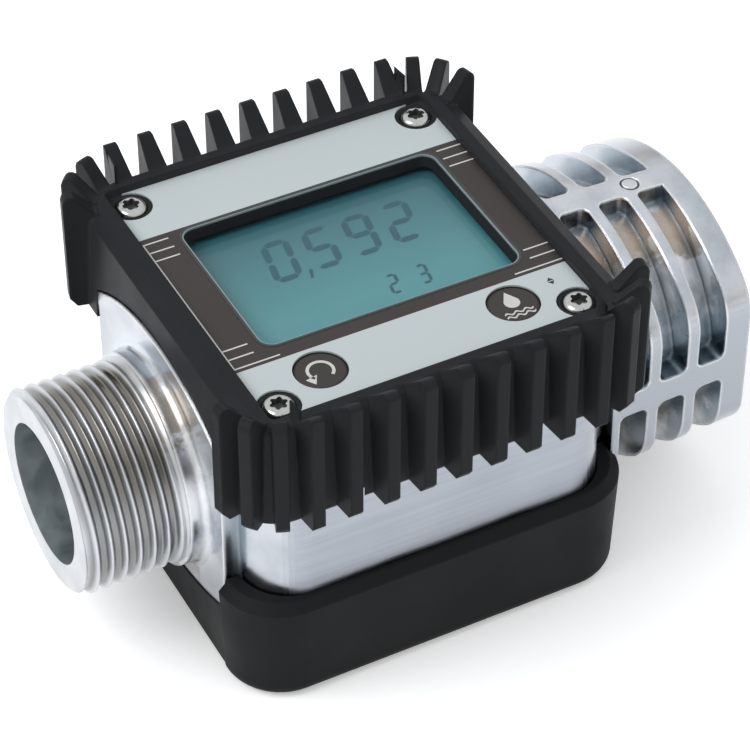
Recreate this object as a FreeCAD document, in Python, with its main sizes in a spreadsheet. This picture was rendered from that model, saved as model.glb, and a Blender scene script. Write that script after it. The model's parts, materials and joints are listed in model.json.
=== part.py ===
"""Turbine flow meter: cast body with male and female pipe ends, turbine and digital display.

The origin is the centre of the battery cover's underside, +Z is up and the liquid flows along X,
from the male end (-X) to the ribbed female end (+X).  All lengths are millimetres.
"""
import FreeCAD, Part

import math
import os
import re

import Sketcher

V = FreeCAD.Vector

# Sizes that are set one by one; the places below follow from them.
SIZES = {
    # flow passage and pipe ends
    "bore_radius": 11.4,
    "passage_floor": 1.5,
    "passage_roof": 2.7,
    "male_radius": 16.62,
    "male_length": 16.6,
    "male_chamfer": 0.9,
    "neck_step": 0.68,
    "neck_length": 3.0,
    "neck_flare": 1.1,
    "port_radius": 15.15,
    "port_depth": 19.0,
    "port_chamfer": 1.6,
    "groove_depth": 1.0,
    # block of the body and its end plates
    "block_half": 30.4,
    "block_corner": 8.0,
    "plate_step": 2.6,
    "plate_inset": 0.4,
    "plate_drop": 18.9,
    "plate_rise": 22.3,
    "plate_arc": 42.0,
    "plate_foot_arc": 52.0,
    "standoff_radius": 2.2,
    "standoff_height": 2.0,
    "standoff_inset_x": 5.0,
    "standoff_inset_y": 2.9,
    # ribbed collar of the female end
    "collar_gap": 0.55,
    "collar_rim": 1.5,
    "collar_length": 23.75,
    "collar_arc": 31.0,
    "collar_corner": 8.0,
    "collar_flare": 1.0,
    "tube_wall": 4.45,
    "rib_depth_y": 3.5,
    "rib_depth_z": 2.6,
    "rib_width": 4.4,
    "ring_pitch": 7.1,
    "slot_width": 5.05,
    "slot_round": 1.3,
    "mark_radius": 1.6,
    "mark_width": 0.35,
    "mark_depth": 0.25,
    # finned display frame
    "frame_lap": 3.3,
    "frame_wall_x": 2.8,
    "frame_wall_y": 2.4,
    "frame_draft": 1.0,
    "frame_corner": 7.4,
    "shoulder_rise": 0.3,
    "rim_slope_x": 2.3,
    "rim_slope_y": 0.6,
    "rim_corner": 5.6,
    "ledge_width": 2.4,
    "cavity_depth": 10.3,
    "cavity_corner": 2.0,
    "face_wall": 2.0,
    "wall_gap": 0.3,
    # fins
    "fin_count": 9,
    "fin_pitch": 5.95,
    "fin_root": 3.3,
    "fan_root": 2.5,
    "fin_end": 2.0,
    "fin_length": 4.2,
    "fin_bow": 0.8,
    "fan_inset": 7.7,
    "fan_reach": 10.9,
    "fin_crown": 3.7,
    "fin_tip": 1.2,
    "fin_foot": 1.1,
    "fin_angle_a": 22.0,
    "fin_angle_b": 50.0,
    "fin_angle_c": 78.0,
    # label, window and display
    "label_recess": 1.5,
    "label_border_x": 2.1,
    "label_border_y": 1.9,
    "label_thickness": 0.3,
    "label_corner": 1.0,
    "label_screw_radius": 3.4,
    "window_border_left": 6.5,
    "window_border_right": 5.2,
    "window_border_front": 15.6,
    "window_border_rear": 12.5,
    "window_corner": 2.4,
    "window_lip": 1.6,
    "glass_thickness": 0.8,
    "lcd_thickness": 1.8,
    "board_thickness": 1.4,
    "board_border_x": 3.0,
    "board_border_y": 4.6,
    "holder_wall": 1.4,
    "strip_width": 2.0,
    # buttons
    "button_border_x": 11.7,
    "button_border_y": 7.7,
    "button_radius": 4.05,
    "button_gap": 0.12,
    "button_thickness": 0.8,
    "button_travel": 0.6,
    "stem_radius": 1.6,
    "stem_gap": 0.1,
    "switch_side": 5.6,
    "switch_height": 0.9,
    "switch_gap": 0.1,
    "guide_radius": 4.6,
    "guide_depth": 1.8,
    # frame screws
    "screw_border_x": 2.85,
    "screw_border_y": 3.5,
    "screw_head_radius": 2.5,
    "screw_head_height": 1.3,
    "screw_shank_radius": 1.45,
    "screw_length": 22.0,
    "screw_gap": 0.1,
    "post_radius": 4.2,
    # turbine
    "blade_gap": 0.5,
    "rotor_hub_radius": 4.2,
    "rotor_half_length": 6.0,
    "blade_count": 8,
    "blade_thickness": 0.9,
    "blade_twist": 50.0,
    "bushing_radius": 2.2,
    "bushing_length": 3.0,
    "shaft_radius": 1.0,
    "shaft_gap": 0.05,
    "end_play": 0.4,
    "magnet_radius": 1.2,
    "magnet_length": 1.6,
    "guide_hub_radius": 3.4,
    "guide_length": 9.0,
    "guide_nose": 5.0,
    "vane_count": 6,
    "vane_thickness": 1.0,
    "vane_gap": 0.05,
    "clip_thickness": 1.0,
    "clip_width": 1.9,
    "clip_gap": 0.1,
    "clip_opening": 50.0,
    # battery cover
    "cover_wall_x": 3.3,
    "cover_wall_y": 1.8,
    "cover_corner": 9.5,
    "cover_flare": 0.7,
    "cover_lap": 5.3,
    "cover_floor": 1.8,
    "cover_edge": 2.6,
    "cover_lip": 1.6,
    "cover_recess": 0.6,
    "bay_border_x": 3.0,
    "bay_border_y": 6.8,
    "bay_corner": 3.0,
    "gasket_thickness": 0.6,
    "gasket_width": 1.5,
    "gasket_gap": 0.3,
    "cover_screw_border_x": 9.9,
    "cover_screw_border_y": 2.8,
    "cover_screw_head": 2.4,
    "cover_screw_shank": 1.3,
    "cover_screw_sink": 1.6,
    "cover_screw_length": 22.0,
    # batteries
    "cell_radius": 5.9,
    "cell_length": 29.4,
    "cell_pip_radius": 1.7,
    "cell_pip": 0.8,
    "cell_wall": 1.8,
    "cell_cover": 1.2,
    "cell_gap": 0.2,
    "holder_side": 1.5,
    "holder_end_wall": 1.6,
    "contact_thickness": 0.4,
    "spring_depth": 2.0,
    "contact_width": 8.0,
    "contact_length": 11.0,
}

PLACES = {
    # heights, from the base up
    "block_bottom": "cover_floor + cell_gap + 2 * cell_radius + cell_cover",
    "cover_height": "block_bottom + cover_lap",
    "axis_height": "block_bottom + passage_floor + bore_radius",
    "block_top": "axis_height + bore_radius + passage_roof",
    "plate_low": "axis_height - plate_drop",
    "plate_high": "axis_height + plate_rise",
    "board_height": "block_top + standoff_height",
    "ledge_height": "block_top + gasket_thickness",
    "cavity_top": "ledge_height + cavity_depth",
    "face_height": "cavity_top + face_wall",
    "frame_bottom": "block_top - frame_lap",
    "frame_shoulder": "face_height + shoulder_rise",
    "frame_top": "face_height + label_recess",
    # places along the flow, from the middle out
    "plate_face": "block_half + plate_step",
    "neck_face": "plate_face + neck_length",
    "male_face": "neck_face + male_length",
    "collar_back": "plate_face + collar_gap",
    "collar_root": "collar_back + collar_rim",
    "collar_face": "collar_root + collar_length",
    # radii and half widths
    "neck_radius": "male_radius + neck_step",
    "collar_tube": "port_radius + tube_wall",
    "collar_half_y": "collar_tube + rib_depth_y",
    "collar_half_z": "collar_tube + rib_depth_z",
    "rotor_radius": "bore_radius - blade_gap",
    "plate_half": "block_half - block_corner - plate_inset",
    "frame_half_x": "block_half + frame_wall_x",
    "frame_half_y": "block_half + frame_wall_y",
    "rim_half_x": "frame_half_x - frame_draft - rim_slope_x",
    "rim_half_y": "frame_half_y - frame_draft - rim_slope_y",
    "fin_face": "frame_half_y + fin_length",
    "fin_centre": "frame_half_y - fan_inset",
    "cavity_half": "block_half - ledge_width",
    "label_half_x": "rim_half_x - label_border_x",
    "label_half_y": "rim_half_y - label_border_y",
    "window_left": "label_half_x - window_border_left",
    "window_right": "label_half_x - window_border_right",
    "window_front": "label_half_y - window_border_front",
    "window_rear": "label_half_y - window_border_rear",
    "button_x": "label_half_x - button_border_x",
    "button_y": "label_half_y - button_border_y",
    "screw_x": "label_half_x - screw_border_x",
    "screw_y": "label_half_y - screw_border_y",
    "board_half_x": "cavity_half - board_border_x",
    "board_half_y": "cavity_half - board_border_y",
    "standoff_x": "board_half_x - standoff_inset_x",
    "standoff_y": "board_half_y - standoff_inset_y",
    "cover_half_x": "block_half + cover_wall_x",
    "cover_half_y": "block_half + cover_wall_y",
    "bay_half_x": "block_half - bay_border_x",
    "bay_half_y": "block_half - bay_border_y",
    "cover_screw_x": "block_half - cover_screw_border_x",
    "cover_screw_y": "block_half - cover_screw_border_y",
    "cell_spacing": "2 * (cell_radius + cell_gap) + cell_wall",
    "holder_half_y": "cell_spacing / 2 + cell_radius + cell_gap + holder_side",
}

doc = FreeCAD.newDocument("turbine_flow_meter")
sheet = doc.addObject("Spreadsheet::Sheet", "dims")
for row, (alias, entry) in enumerate([*SIZES.items(), *PLACES.items()], start=1):
    sheet.set(f"A{row}", alias)
    sheet.setAlias(f"B{row}", alias)
    sheet.set(f"B{row}", f"={entry}")
doc.recompute()

PIECES = []


def cells(formula):
    """Turn the size names of a formula into cells of the sheet."""
    return re.sub(r"[a-z][a-z_]*", lambda word: cell(word.group(0)), str(formula))


def cell(word):
    return f"dims.{word}" if word in SIZES or word in PLACES else word


def value(formula):
    """Present value of a formula of sizes."""
    return float(sheet.evalExpression(cells(formula)))


def bind(item, **formulas):
    for name, formula in formulas.items():
        item.setExpression(name.replace("__", "."), cells(formula))


def place(item, x="0", y="0", z="0"):
    bind(item, Placement__Base__x=x, Placement__Base__y=y, Placement__Base__z=z)


class Outline:
    """A closed drawing on one origin plane of a piece, with every point tied to the sizes."""

    def __init__(self, piece, plane, offset="0"):
        self.sketch = piece.body.newObject("Sketcher::SketchObject", piece.name("outline"))
        self.sketch.AttachmentSupport = [(piece.origin(plane), "")]
        self.sketch.MapMode = "FlatFace"
        if offset != "0":
            bind(self.sketch, AttachmentOffset__Base__z=offset)

    def tie(self, constraint, formula):
        index = self.sketch.addConstraint(constraint)
        self.sketch.setExpression(f"Constraints[{index}]", cells(formula))

    def fix(self, line, end, point):
        across, up = point
        self.tie(Sketcher.Constraint("DistanceX", -1, 1, line, end, value(across)), across)
        self.tie(Sketcher.Constraint("DistanceY", -1, 1, line, end, value(up)), up)

    def line(self, start, end):
        first = V(value(start[0]), value(start[1]), 0)
        last = V(value(end[0]), value(end[1]), 0)
        return self.sketch.addGeometry(Part.LineSegment(first, last), False)

    def circle(self, across, up, radius):
        centre = V(value(across), value(up), 0)
        ring = self.sketch.addGeometry(Part.Circle(centre, V(0, 0, 1), value(radius)), False)
        self.tie(Sketcher.Constraint("Radius", ring, value(radius)), radius)
        self.fix(ring, 3, (across, up))
        return self

    def polygon(self, *points):
        count = len(points)
        lines = [self.line(points[i], points[(i + 1) % count]) for i in range(count)]
        for i in range(count):
            self.sketch.addConstraint(
                Sketcher.Constraint("Coincident", lines[i], 2, lines[(i + 1) % count], 1))
            self.fix(lines[i], 1, points[i])
        return self

    def rectangle(self, left, right, low, high, corner=None):
        if corner is None:
            return self.polygon((left, low), (right, low), (right, high), (left, high))
        inner_left, inner_right = f"{left} + {corner}", f"{right} - ({corner})"
        inner_low, inner_high = f"{low} + {corner}", f"{high} - ({corner})"
        sides = [((inner_left, low), (inner_right, low)), ((right, inner_low), (right, inner_high)),
                 ((inner_right, high), (inner_left, high)), ((left, inner_high), (left, inner_low))]
        lines = [self.line(*side) for side in sides]
        for line, side in zip(lines, sides):
            self.fix(line, 1, side[0])
            self.fix(line, 2, side[1])
        centres = [(inner_right, inner_low), (inner_right, inner_high),
                   (inner_left, inner_high), (inner_left, inner_low)]
        for i, (across, up) in enumerate(centres):
            circle = Part.Circle(V(value(across), value(up), 0), V(0, 0, 1), value(corner))
            start = (i - 1) * math.pi / 2
            arc = self.sketch.addGeometry(Part.ArcOfCircle(circle, start, start + math.pi / 2), False)
            self.sketch.addConstraint(Sketcher.Constraint("Coincident", lines[i], 2, arc, 1))
            self.sketch.addConstraint(
                Sketcher.Constraint("Coincident", arc, 2, lines[(i + 1) % 4], 1))
            self.tie(Sketcher.Constraint("Radius", arc, value(corner)), corner)
        return self

    def centred(self, half_across, half_up, corner=None):
        return self.rectangle(f"-({half_across})", half_across, f"-({half_up})", half_up, corner)

    def barrel(self, half_across, half_up, radius, corner):
        """Closed outline with arched ends and upright sides, joined by tangent rounds."""
        across, big, small = value(half_across), value(radius), value(corner)
        drop = value(f"{half_up} - ({radius})")
        round_across = across - small
        round_up = drop + math.sqrt((big - small) ** 2 - round_across ** 2)
        turn = math.atan2(round_up - drop, round_across)

        def arc(x, y, size, start, end):
            circle = Part.Circle(V(x, y, 0), V(0, 0, 1), size)
            item = self.sketch.addGeometry(Part.ArcOfCircle(circle, start, end), False)
            self.tie(Sketcher.Constraint("Radius", item, size), radius if size == big else corner)
            return item

        def side(x, start, end):
            return self.sketch.addGeometry(Part.LineSegment(V(x, start, 0), V(x, end, 0)), False)

        right = side(across, -round_up, round_up)
        top = [arc(round_across, round_up, small, 0, turn),
               arc(0, drop, big, turn, math.pi - turn),
               arc(-round_across, round_up, small, math.pi - turn, math.pi)]
        left = side(-across, round_up, -round_up)
        low = [arc(-round_across, -round_up, small, math.pi, math.pi + turn),
               arc(0, -drop, big, math.pi + turn, 2 * math.pi - turn),
               arc(round_across, -round_up, small, 2 * math.pi - turn, 2 * math.pi)]
        loop = [right] + top + [left] + low
        for first, second in zip(loop, loop[1:] + loop[:1]):
            self.sketch.addConstraint(Sketcher.Constraint("Tangent", first, 2, second, 1))
        self.fix(top[1], 3, ("0", f"{half_up} - ({radius})"))
        self.fix(low[1], 3, ("0", f"-({half_up} - ({radius}))"))
        for line, place_across in ((right, half_across), (left, f"-({half_across})")):
            self.sketch.addConstraint(Sketcher.Constraint("Vertical", line))
            self.tie(Sketcher.Constraint("DistanceX", -1, 1, line, 1, value(place_across)), place_across)
        return self

    def axis(self, start, end):
        """A construction line to turn the outline about."""
        line = self.line(start, end)
        self.sketch.setConstruction(line, True)
        self.fix(line, 1, start)
        self.fix(line, 2, end)
        return self

    def arch(self, half_width, foot, crown, radius):
        """A band from the level foot up (or down) to a shallow arc whose middle is at the crown."""
        radius, half_width = f"({radius})", f"({half_width})"
        side = "1" if value(crown) > value(foot) else "-1"
        end = f"{crown} - {side} * ({radius} - sqrt({radius} ^ 2 - {half_width} ^ 2))"
        corners = [(f"-{half_width}", end), (f"-{half_width}", foot),
                   (half_width, foot), (half_width, end)]
        lines = [self.line(corners[i], corners[i + 1]) for i in range(3)]
        for i in range(3):
            self.fix(lines[i], 1, corners[i])
        self.fix(lines[2], 2, corners[3])
        for i in range(2):
            self.sketch.addConstraint(Sketcher.Constraint("Coincident", lines[i], 2, lines[i + 1], 1))
        centre = V(0, value(crown) - float(side) * value(radius), 0)
        sweep = math.asin(value(half_width) / value(radius))
        middle = math.pi / 2 if side == "1" else -math.pi / 2
        arc = self.sketch.addGeometry(
            Part.ArcOfCircle(Part.Circle(centre, V(0, 0, 1), value(radius)), middle - sweep, middle + sweep),
            False)
        first, last = (1, 2) if side == "1" else (2, 1)
        self.sketch.addConstraint(Sketcher.Constraint("Coincident", arc, first, lines[2], 2))
        self.sketch.addConstraint(Sketcher.Constraint("Coincident", arc, last, lines[0], 1))
        self.tie(Sketcher.Constraint("Radius", arc, value(radius)), radius)
        return self


class Piece:
    """One part of the meter: a PartDesign body whose features are tied to the sizes."""

    def __init__(self, label, x="0", y="0", z="0"):
        self.label = label
        self.count = 0
        self.body = doc.addObject("PartDesign::Body", label)
        self.body.Label = label
        place(self.body, x, y, z)
        PIECES.append(self.body)

    def name(self, kind):
        self.count += 1
        return f"{self.label}_{kind}_{self.count}"

    def origin(self, role):
        return next(item for item in self.body.Origin.OriginFeatures if item.Role == role)

    def outline(self, plane, offset="0"):
        return Outline(self, plane, offset)

    def feature(self, kind, outline, **settings):
        item = self.body.newObject(f"PartDesign::{kind}", self.name(kind.lower()))
        item.Profile = outline.sketch
        for name, setting in settings.items():
            setattr(item, name, setting)
        return item

    def pad(self, outline, length, both_ways=False, reverse=False, taper=None):
        item = self.feature("Pad", outline, Midplane=both_ways, Reversed=reverse)
        bind(item, Length=length)
        if taper is not None:
            bind(item, TaperAngle=taper)
        return item

    def pocket(self, outline, length, both_ways=False, reverse=False):
        item = self.feature("Pocket", outline, Midplane=both_ways, Reversed=reverse)
        bind(item, Length=length)
        return item

    def turn(self, outline, axis="X_Axis", cut=False):
        item = self.feature("Groove" if cut else "Revolution", outline)
        item.ReferenceAxis = (self.origin(axis), [""])
        item.Angle = 360
        return item

    def loft(self, outline, others, cut=False):
        item = self.feature("SubtractiveLoft" if cut else "AdditiveLoft", outline, Ruled=True)
        item.Sections = [other.sketch for other in others]
        return item

    def row(self, feature, length, count):
        item = self.body.newObject("PartDesign::LinearPattern", self.name("row"))
        item.Originals = [feature]
        item.Direction = (self.origin("X_Axis"), [""])
        bind(item, Length=length, Occurrences=count)
        self.body.Tip = item
        return item

    def ring(self, features, axis, count):
        item = self.body.newObject("PartDesign::PolarPattern", self.name("ring"))
        item.Originals = features
        item.Axis = (self.origin(axis), [""])
        item.Angle = 360
        bind(item, Occurrences=count)
        self.body.Tip = item
        return item

    def mirror(self, features, plane):
        item = self.body.newObject("PartDesign::Mirrored", self.name("mirror"))
        item.Originals = features
        item.MirrorPlane = (self.origin(plane), [""])
        self.body.Tip = item
        return item

    def round(self, feature, radius, chosen, kind="Fillet"):
        """Fillet or chamfer the edges of a feature that the chosen test picks."""
        doc.recompute()
        names = [f"Edge{i}" for i, edge in enumerate(feature.Shape.Edges, start=1) if chosen(edge)]
        item = self.body.newObject(f"PartDesign::{kind}", self.name(kind.lower()))
        item.Base = (feature, names)
        bind(item, **{"Radius" if kind == "Fillet" else "Size": radius})
        return item


def at_height(height):
    """Test for an edge that lies wholly at one height."""
    level = value(height)
    return lambda edge: all(abs(vertex.Z - level) < 0.001 for vertex in edge.Vertexes)


def body_of_revolution(label, x, y, z, profile, axis="X_Axis"):
    """A turned piece: its half outline on the plane XZ, turned about its own axis."""
    piece = Piece(label, x, y, z)
    piece.turn(piece.outline("XZ_Plane").polygon(*profile), axis)
    return piece


# ---------------------------------------------------------------------------------------------
# Cast body, drawn about the flow axis
# ---------------------------------------------------------------------------------------------
def make_meter_body():
    piece = Piece("meter_body", z="axis_height")
    bottom = "block_bottom - axis_height"
    top = "block_top - axis_height"
    piece.pad(piece.outline("XY_Plane", bottom).centred("block_half", "block_half", "block_corner"),
              "block_top - block_bottom")

    # end plates with arched edges, the outlet one hidden behind the collar's root below the axis
    for face in ("-plate_face", "plate_face"):
        for foot, crown, radius in (("-1", "plate_high - axis_height", "plate_arc"),
                                    ("1", "plate_low - axis_height", "plate_foot_arc")):
            plate = piece.outline("YZ_Plane", face).arch("plate_half", foot, crown, radius)
            piece.pad(plate, "plate_face - block_half", reverse=face == "plate_face")

    # male spigot and its neck
    piece.turn(piece.outline("XZ_Plane").polygon(
        ("-plate_face + 1", "bore_radius - 1"),
        ("-male_face", "bore_radius - 1"),
        ("-male_face", "male_radius - male_chamfer"),
        ("-male_face + male_chamfer", "male_radius"),
        ("-neck_face", "male_radius"),
        ("-neck_face", "neck_radius"),
        ("-plate_face - 0.8 * neck_flare", "neck_radius"),
        ("-plate_face - 0.25 * neck_flare", "neck_radius + 0.35 * neck_flare"),
        ("-plate_face", "neck_radius + neck_flare"),
        ("-plate_face + 1", "neck_radius + neck_flare")))

    # ribbed collar: a tapering rounded-square shell, turned down to its tube between the rings
    piece.pad(piece.outline("YZ_Plane", "plate_face - 1").circle("0", "0", "neck_radius"),
              "collar_root - plate_face + 1")
    root = piece.outline("YZ_Plane", "collar_back").barrel(
        "collar_half_y + collar_flare", "collar_half_z + collar_flare",
        "collar_arc + collar_flare", "collar_corner + collar_flare")
    length = "collar_face - collar_back"
    piece.pad(root, length, taper=f"-atan(collar_flare / ({length}))")
    slots = piece.outline("YZ_Plane", "collar_root")
    for across, up in corners("", ""):
        slots.rectangle(f"{across}rib_width / 2", f"{across}(collar_half_y + 4)",
                        f"{up}rib_width / 2", f"{up}(collar_half_z + 4)")
    piece.row(piece.pocket(slots, "slot_width", reverse=True), "2 * ring_pitch", "3")
    tube = piece.pad(piece.outline("YZ_Plane", "collar_root - 0.5").circle("0", "0", "collar_tube"),
                     "2 * ring_pitch + slot_width + 1")
    piece.round(tube, "slot_round", slot_corner)
    mark = piece.outline("XY_Plane", "collar_half_z + 1")
    for radius in ("mark_radius", "mark_radius - mark_width"):
        mark.circle("collar_root + 2 * ring_pitch + mark_width", "0", radius)
    piece.pocket(mark, "1 + mark_depth")

    # passage, female port and the grooves of the retaining rings
    inner = "collar_face - port_depth"
    piece.turn(piece.outline("XZ_Plane").polygon(
        ("-male_face - 1", "0"),
        ("collar_face + 1", "0"),
        ("collar_face + 1", "port_radius + port_chamfer + 1"),
        ("collar_face - port_chamfer", "port_radius"),
        (inner, "port_radius"),
        (inner, "bore_radius"),
        ("-male_face - 1", "bore_radius")), cut=True)
    grooves = piece.outline("XZ_Plane")
    for low, high in (clip_place("-1"), clip_place("1")):
        grooves.rectangle(f"{low} - clip_gap", f"{high} + clip_gap",
                          "bore_radius - 0.5", "bore_radius + groove_depth")
    piece.turn(grooves, cut=True)

    # standoffs of the circuit board and the blind screw holes above and below
    standoffs = piece.outline("XY_Plane", f"{top} - 0.5")
    for x, y in corners("standoff_x", "standoff_y"):
        standoffs.circle(x, y, "standoff_radius")
    piece.pad(standoffs, "board_height - block_top + 0.5")
    holes = piece.outline("XY_Plane", top)
    for x, y in corners("screw_x", "screw_y"):
        holes.circle(x, y, "screw_shank_radius")
    piece.pocket(holes, f"screw_length - ({screw_seat()}) + block_top + screw_gap")
    holes = piece.outline("XY_Plane", bottom)
    for x, y in corners("cover_screw_x", "cover_screw_y"):
        holes.circle(x, y, "cover_screw_shank")
    piece.pocket(holes, "cover_screw_sink + cover_screw_length - block_bottom + screw_gap", reverse=True)
    return piece


def slot_corner(edge):
    """Test for the upright edges where the ribs meet the walls of the collar's slots."""
    first, last = edge.Vertexes[0].Point, edge.Vertexes[-1].Point
    inside = value("collar_root") - 0.01 < first.x < value("collar_face") - 1
    beside = any(abs(abs(a) - value("rib_width / 2")) < 0.01 and abs(a - b) < 0.01
                 for a, b in ((first.y, last.y), (first.z, last.z)))
    return inside and beside and abs(first.x - last.x) < 0.01 and edge.Length > 3


def corners(x, y):
    """The four places at plus and minus x and y."""
    return [(f"{i}{x}", f"{j}{y}") for i in ("-", "") for j in ("-", "")]


def screw_seat():
    """Height of the underside of the frame screws' heads."""
    return "face_height - 0.5"


def clip_place(side):
    """Ends along X of the retaining ring on one side of the turbine."""
    near = "rotor_half_length + end_play + guide_length + clip_gap"
    if side == "1":
        return near, f"{near} + clip_thickness"
    return f"-({near} + clip_thickness)", f"-({near})"


# ---------------------------------------------------------------------------------------------
# Finned display frame
# ---------------------------------------------------------------------------------------------
def fin_quad(angle):
    """Plan of one corner fin that points away from the corner's centre, angle from Y towards X."""
    sine, cosine = f"sin({angle} * 1 deg)", f"cos({angle} * 1 deg)"
    inner = "frame_half_y - frame_draft - fin_centre - 1.4"
    outer = "fan_reach"
    points = []
    for along, across in ((inner, "fan_root / 2"), (outer, "fin_end / 2"),
                          (outer, "-fin_end / 2"), (inner, "-fan_root / 2")):
        points.append((f"fin_centre + ({along}) * {sine} + ({across}) * {cosine}",
                       f"fin_centre + ({along}) * {cosine} - ({across}) * {sine}"))
    return points


def crown_profile(outer):
    """Waste above a fin: up its sloping crown from the rim and over its rounded tip."""
    top = "frame_top + fin_crown"
    points = [("fin_centre", "frame_top"), ("rim_half_y", "frame_top")]
    for angle in (120, 90, 60, 30, 0):
        points.append((f"{outer} - fin_tip + fin_tip * cos({angle} * 1 deg)",
                       f"{top} - fin_tip + fin_tip * sin({angle} * 1 deg)"))
    points += [(f"{outer} + 2", f"{top} - fin_tip"), (f"{outer} + 2", f"{top} + 1"),
               ("fin_centre", f"{top} + 1")]
    return points


def foot_profile(outer):
    """Waste under a fin's foot, which slopes up outwards."""
    return [
        (f"{outer} - fin_foot", "frame_bottom"),
        (f"{outer} + 2", "frame_bottom"),
        (f"{outer} + 2", "frame_bottom + 1.4 * fin_foot"),
        (outer, "frame_bottom + 1.4 * fin_foot"),
    ]


def make_display_frame():
    piece = Piece("display_frame")
    height = "frame_shoulder - frame_bottom"
    piece.pad(piece.outline("XY_Plane", "frame_bottom").centred(
        "frame_half_x", "frame_half_y", "frame_corner"), height,
        taper=f"-atan(frame_draft / ({height}))")
    shoulder = piece.outline("XY_Plane", "frame_shoulder").centred(
        "frame_half_x - frame_draft", "frame_half_y - frame_draft", "frame_corner - frame_draft")
    rim = piece.outline("XY_Plane", "frame_top").centred("rim_half_x", "rim_half_y", "rim_corner")
    piece.loft(shoulder, [rim])

    # fins that fan out round the corners, trimmed by turning about each corner's upright axis
    height = "frame_top + fin_crown - frame_bottom"
    fans = piece.outline("XY_Plane", "frame_bottom")
    for x, y in corners("", ""):
        for angle in ("fin_angle_a", "fin_angle_b", "fin_angle_c"):
            fans.polygon(*[(f"{x}({across})", f"{y}({up})") for across, up in fin_quad(angle)])
    piece.pad(fans, height)
    outer = "fin_centre + fan_reach"
    for x, y in corners("", ""):
        for profile in (crown_profile(outer), foot_profile(outer)):
            waste = piece.outline("YZ_Plane", f"{x}fin_centre")
            waste.polygon(*[(f"{y}({across})", up) for across, up in profile])
            waste.axis((f"{y}fin_centre", "0"), (f"{y}fin_centre", "frame_top"))
            trim = piece.feature("Groove", waste)
            trim.ReferenceAxis = (waste.sketch, ["Axis0"])
            trim.Angle = 360

    # straight fins along the front and the rear, with their ends on a slight bow
    count = int(value("fin_count"))
    rows = piece.outline("XY_Plane", "frame_bottom")
    inner = "frame_half_y - frame_draft - 1.4"
    for i in range(count):
        share = 2 * i / (count - 1) - 1
        middle = f"{share} * (fin_count - 1) / 2 * fin_pitch"
        outer = f"(fin_face - {share ** 2} * fin_bow)"
        for side in ("1", "-1"):
            rows.polygon(
                (f"{middle} - fin_root / 2", f"{side} * ({inner})"),
                (f"{middle} + fin_root / 2", f"{side} * ({inner})"),
                (f"{middle} + fin_end / 2", f"{side} * {outer}"),
                (f"{middle} - fin_end / 2", f"{side} * {outer}"))
    piece.pad(rows, height)
    waste = piece.outline("YZ_Plane")
    for profile in (crown_profile("fin_face"), foot_profile("fin_face")):
        waste.polygon(*profile)
        waste.polygon(*[(f"-({across})", up) for across, up in profile])
    piece.pocket(waste, "2 * fin_centre", both_ways=True)
    return piece


def hollow_display_frame(piece):
    """Cavities, window, seats and holes of the finned frame."""
    skirt = "block_half + wall_gap"
    piece.pocket(piece.outline("XY_Plane", "frame_bottom").centred(
        skirt, skirt, "block_corner + wall_gap"), "ledge_height - frame_bottom", reverse=True)
    piece.pocket(piece.outline("XY_Plane", "ledge_height").centred(
        "cavity_half", "cavity_half", "cavity_corner"), "cavity_top - ledge_height", reverse=True)
    for face in ("-frame_half_x - 1", "frame_half_x + 1"):
        arch = piece.outline("YZ_Plane", face).arch(
            "plate_half + wall_gap", "frame_bottom - 1", "plate_high + wall_gap", "plate_arc + wall_gap")
        piece.pocket(arch, "frame_half_x + 1 - block_half + wall_gap", reverse=face[0] == "-")

    # posts of the screws and guides of the buttons, inside the cavity
    posts = piece.outline("XY_Plane", "ledge_height")
    for x, y in corners("screw_x", "screw_y"):
        posts.circle(x, y, "post_radius")
    piece.pad(posts, "cavity_top - ledge_height + 0.5")
    guides = piece.outline("XY_Plane", "cavity_top - guide_depth")
    for x in ("-button_x", "button_x"):
        guides.circle(x, "-button_y", "guide_radius")
    piece.pad(guides, "guide_depth + 0.5")

    # recess of the label, opening of the window, seats of the buttons, holes of the screws
    piece.pocket(piece.outline("XY_Plane", "frame_top").centred(
        "label_half_x + 0.1", "label_half_y + 0.1", "label_corner"), "frame_top - face_height")
    low = piece.outline("XY_Plane", "cavity_top - 0.1").rectangle(
        "-window_left + 0.6", "window_right - 0.6", "-window_front + 0.6", "window_rear - 0.6",
        "window_corner - 0.6")
    high = piece.outline("XY_Plane", "frame_top").rectangle(
        "-window_left", "window_right", "-window_front", "window_rear", "window_corner")
    piece.loft(low, [high], cut=True)
    seats = piece.outline("XY_Plane", "frame_top")
    stems = piece.outline("XY_Plane", "frame_top")
    for x in ("-button_x", "button_x"):
        seats.circle(x, "-button_y", "button_radius + button_gap")
        stems.circle(x, "-button_y", "stem_radius + stem_gap")
    piece.pocket(seats, f"frame_top - ({button_bottom()}) + button_travel + 0.2")
    piece.pocket(stems, "frame_top - cavity_top + guide_depth + 1")
    sinks = piece.outline("XY_Plane", "frame_top + 1")
    holes = piece.outline("XY_Plane", "frame_top + 1")
    for x, y in corners("screw_x", "screw_y"):
        sinks.circle(x, y, "screw_head_radius + screw_gap")
        holes.circle(x, y, "screw_shank_radius + screw_gap")
    piece.pocket(sinks, f"frame_top + 1 - ({screw_seat()})")
    piece.pocket(holes, "frame_top + 1 - frame_bottom")


def button_bottom():
    """Height of the underside of a button's cap at rest."""
    return "face_height + label_thickness - 0.2 - button_thickness"


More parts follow.
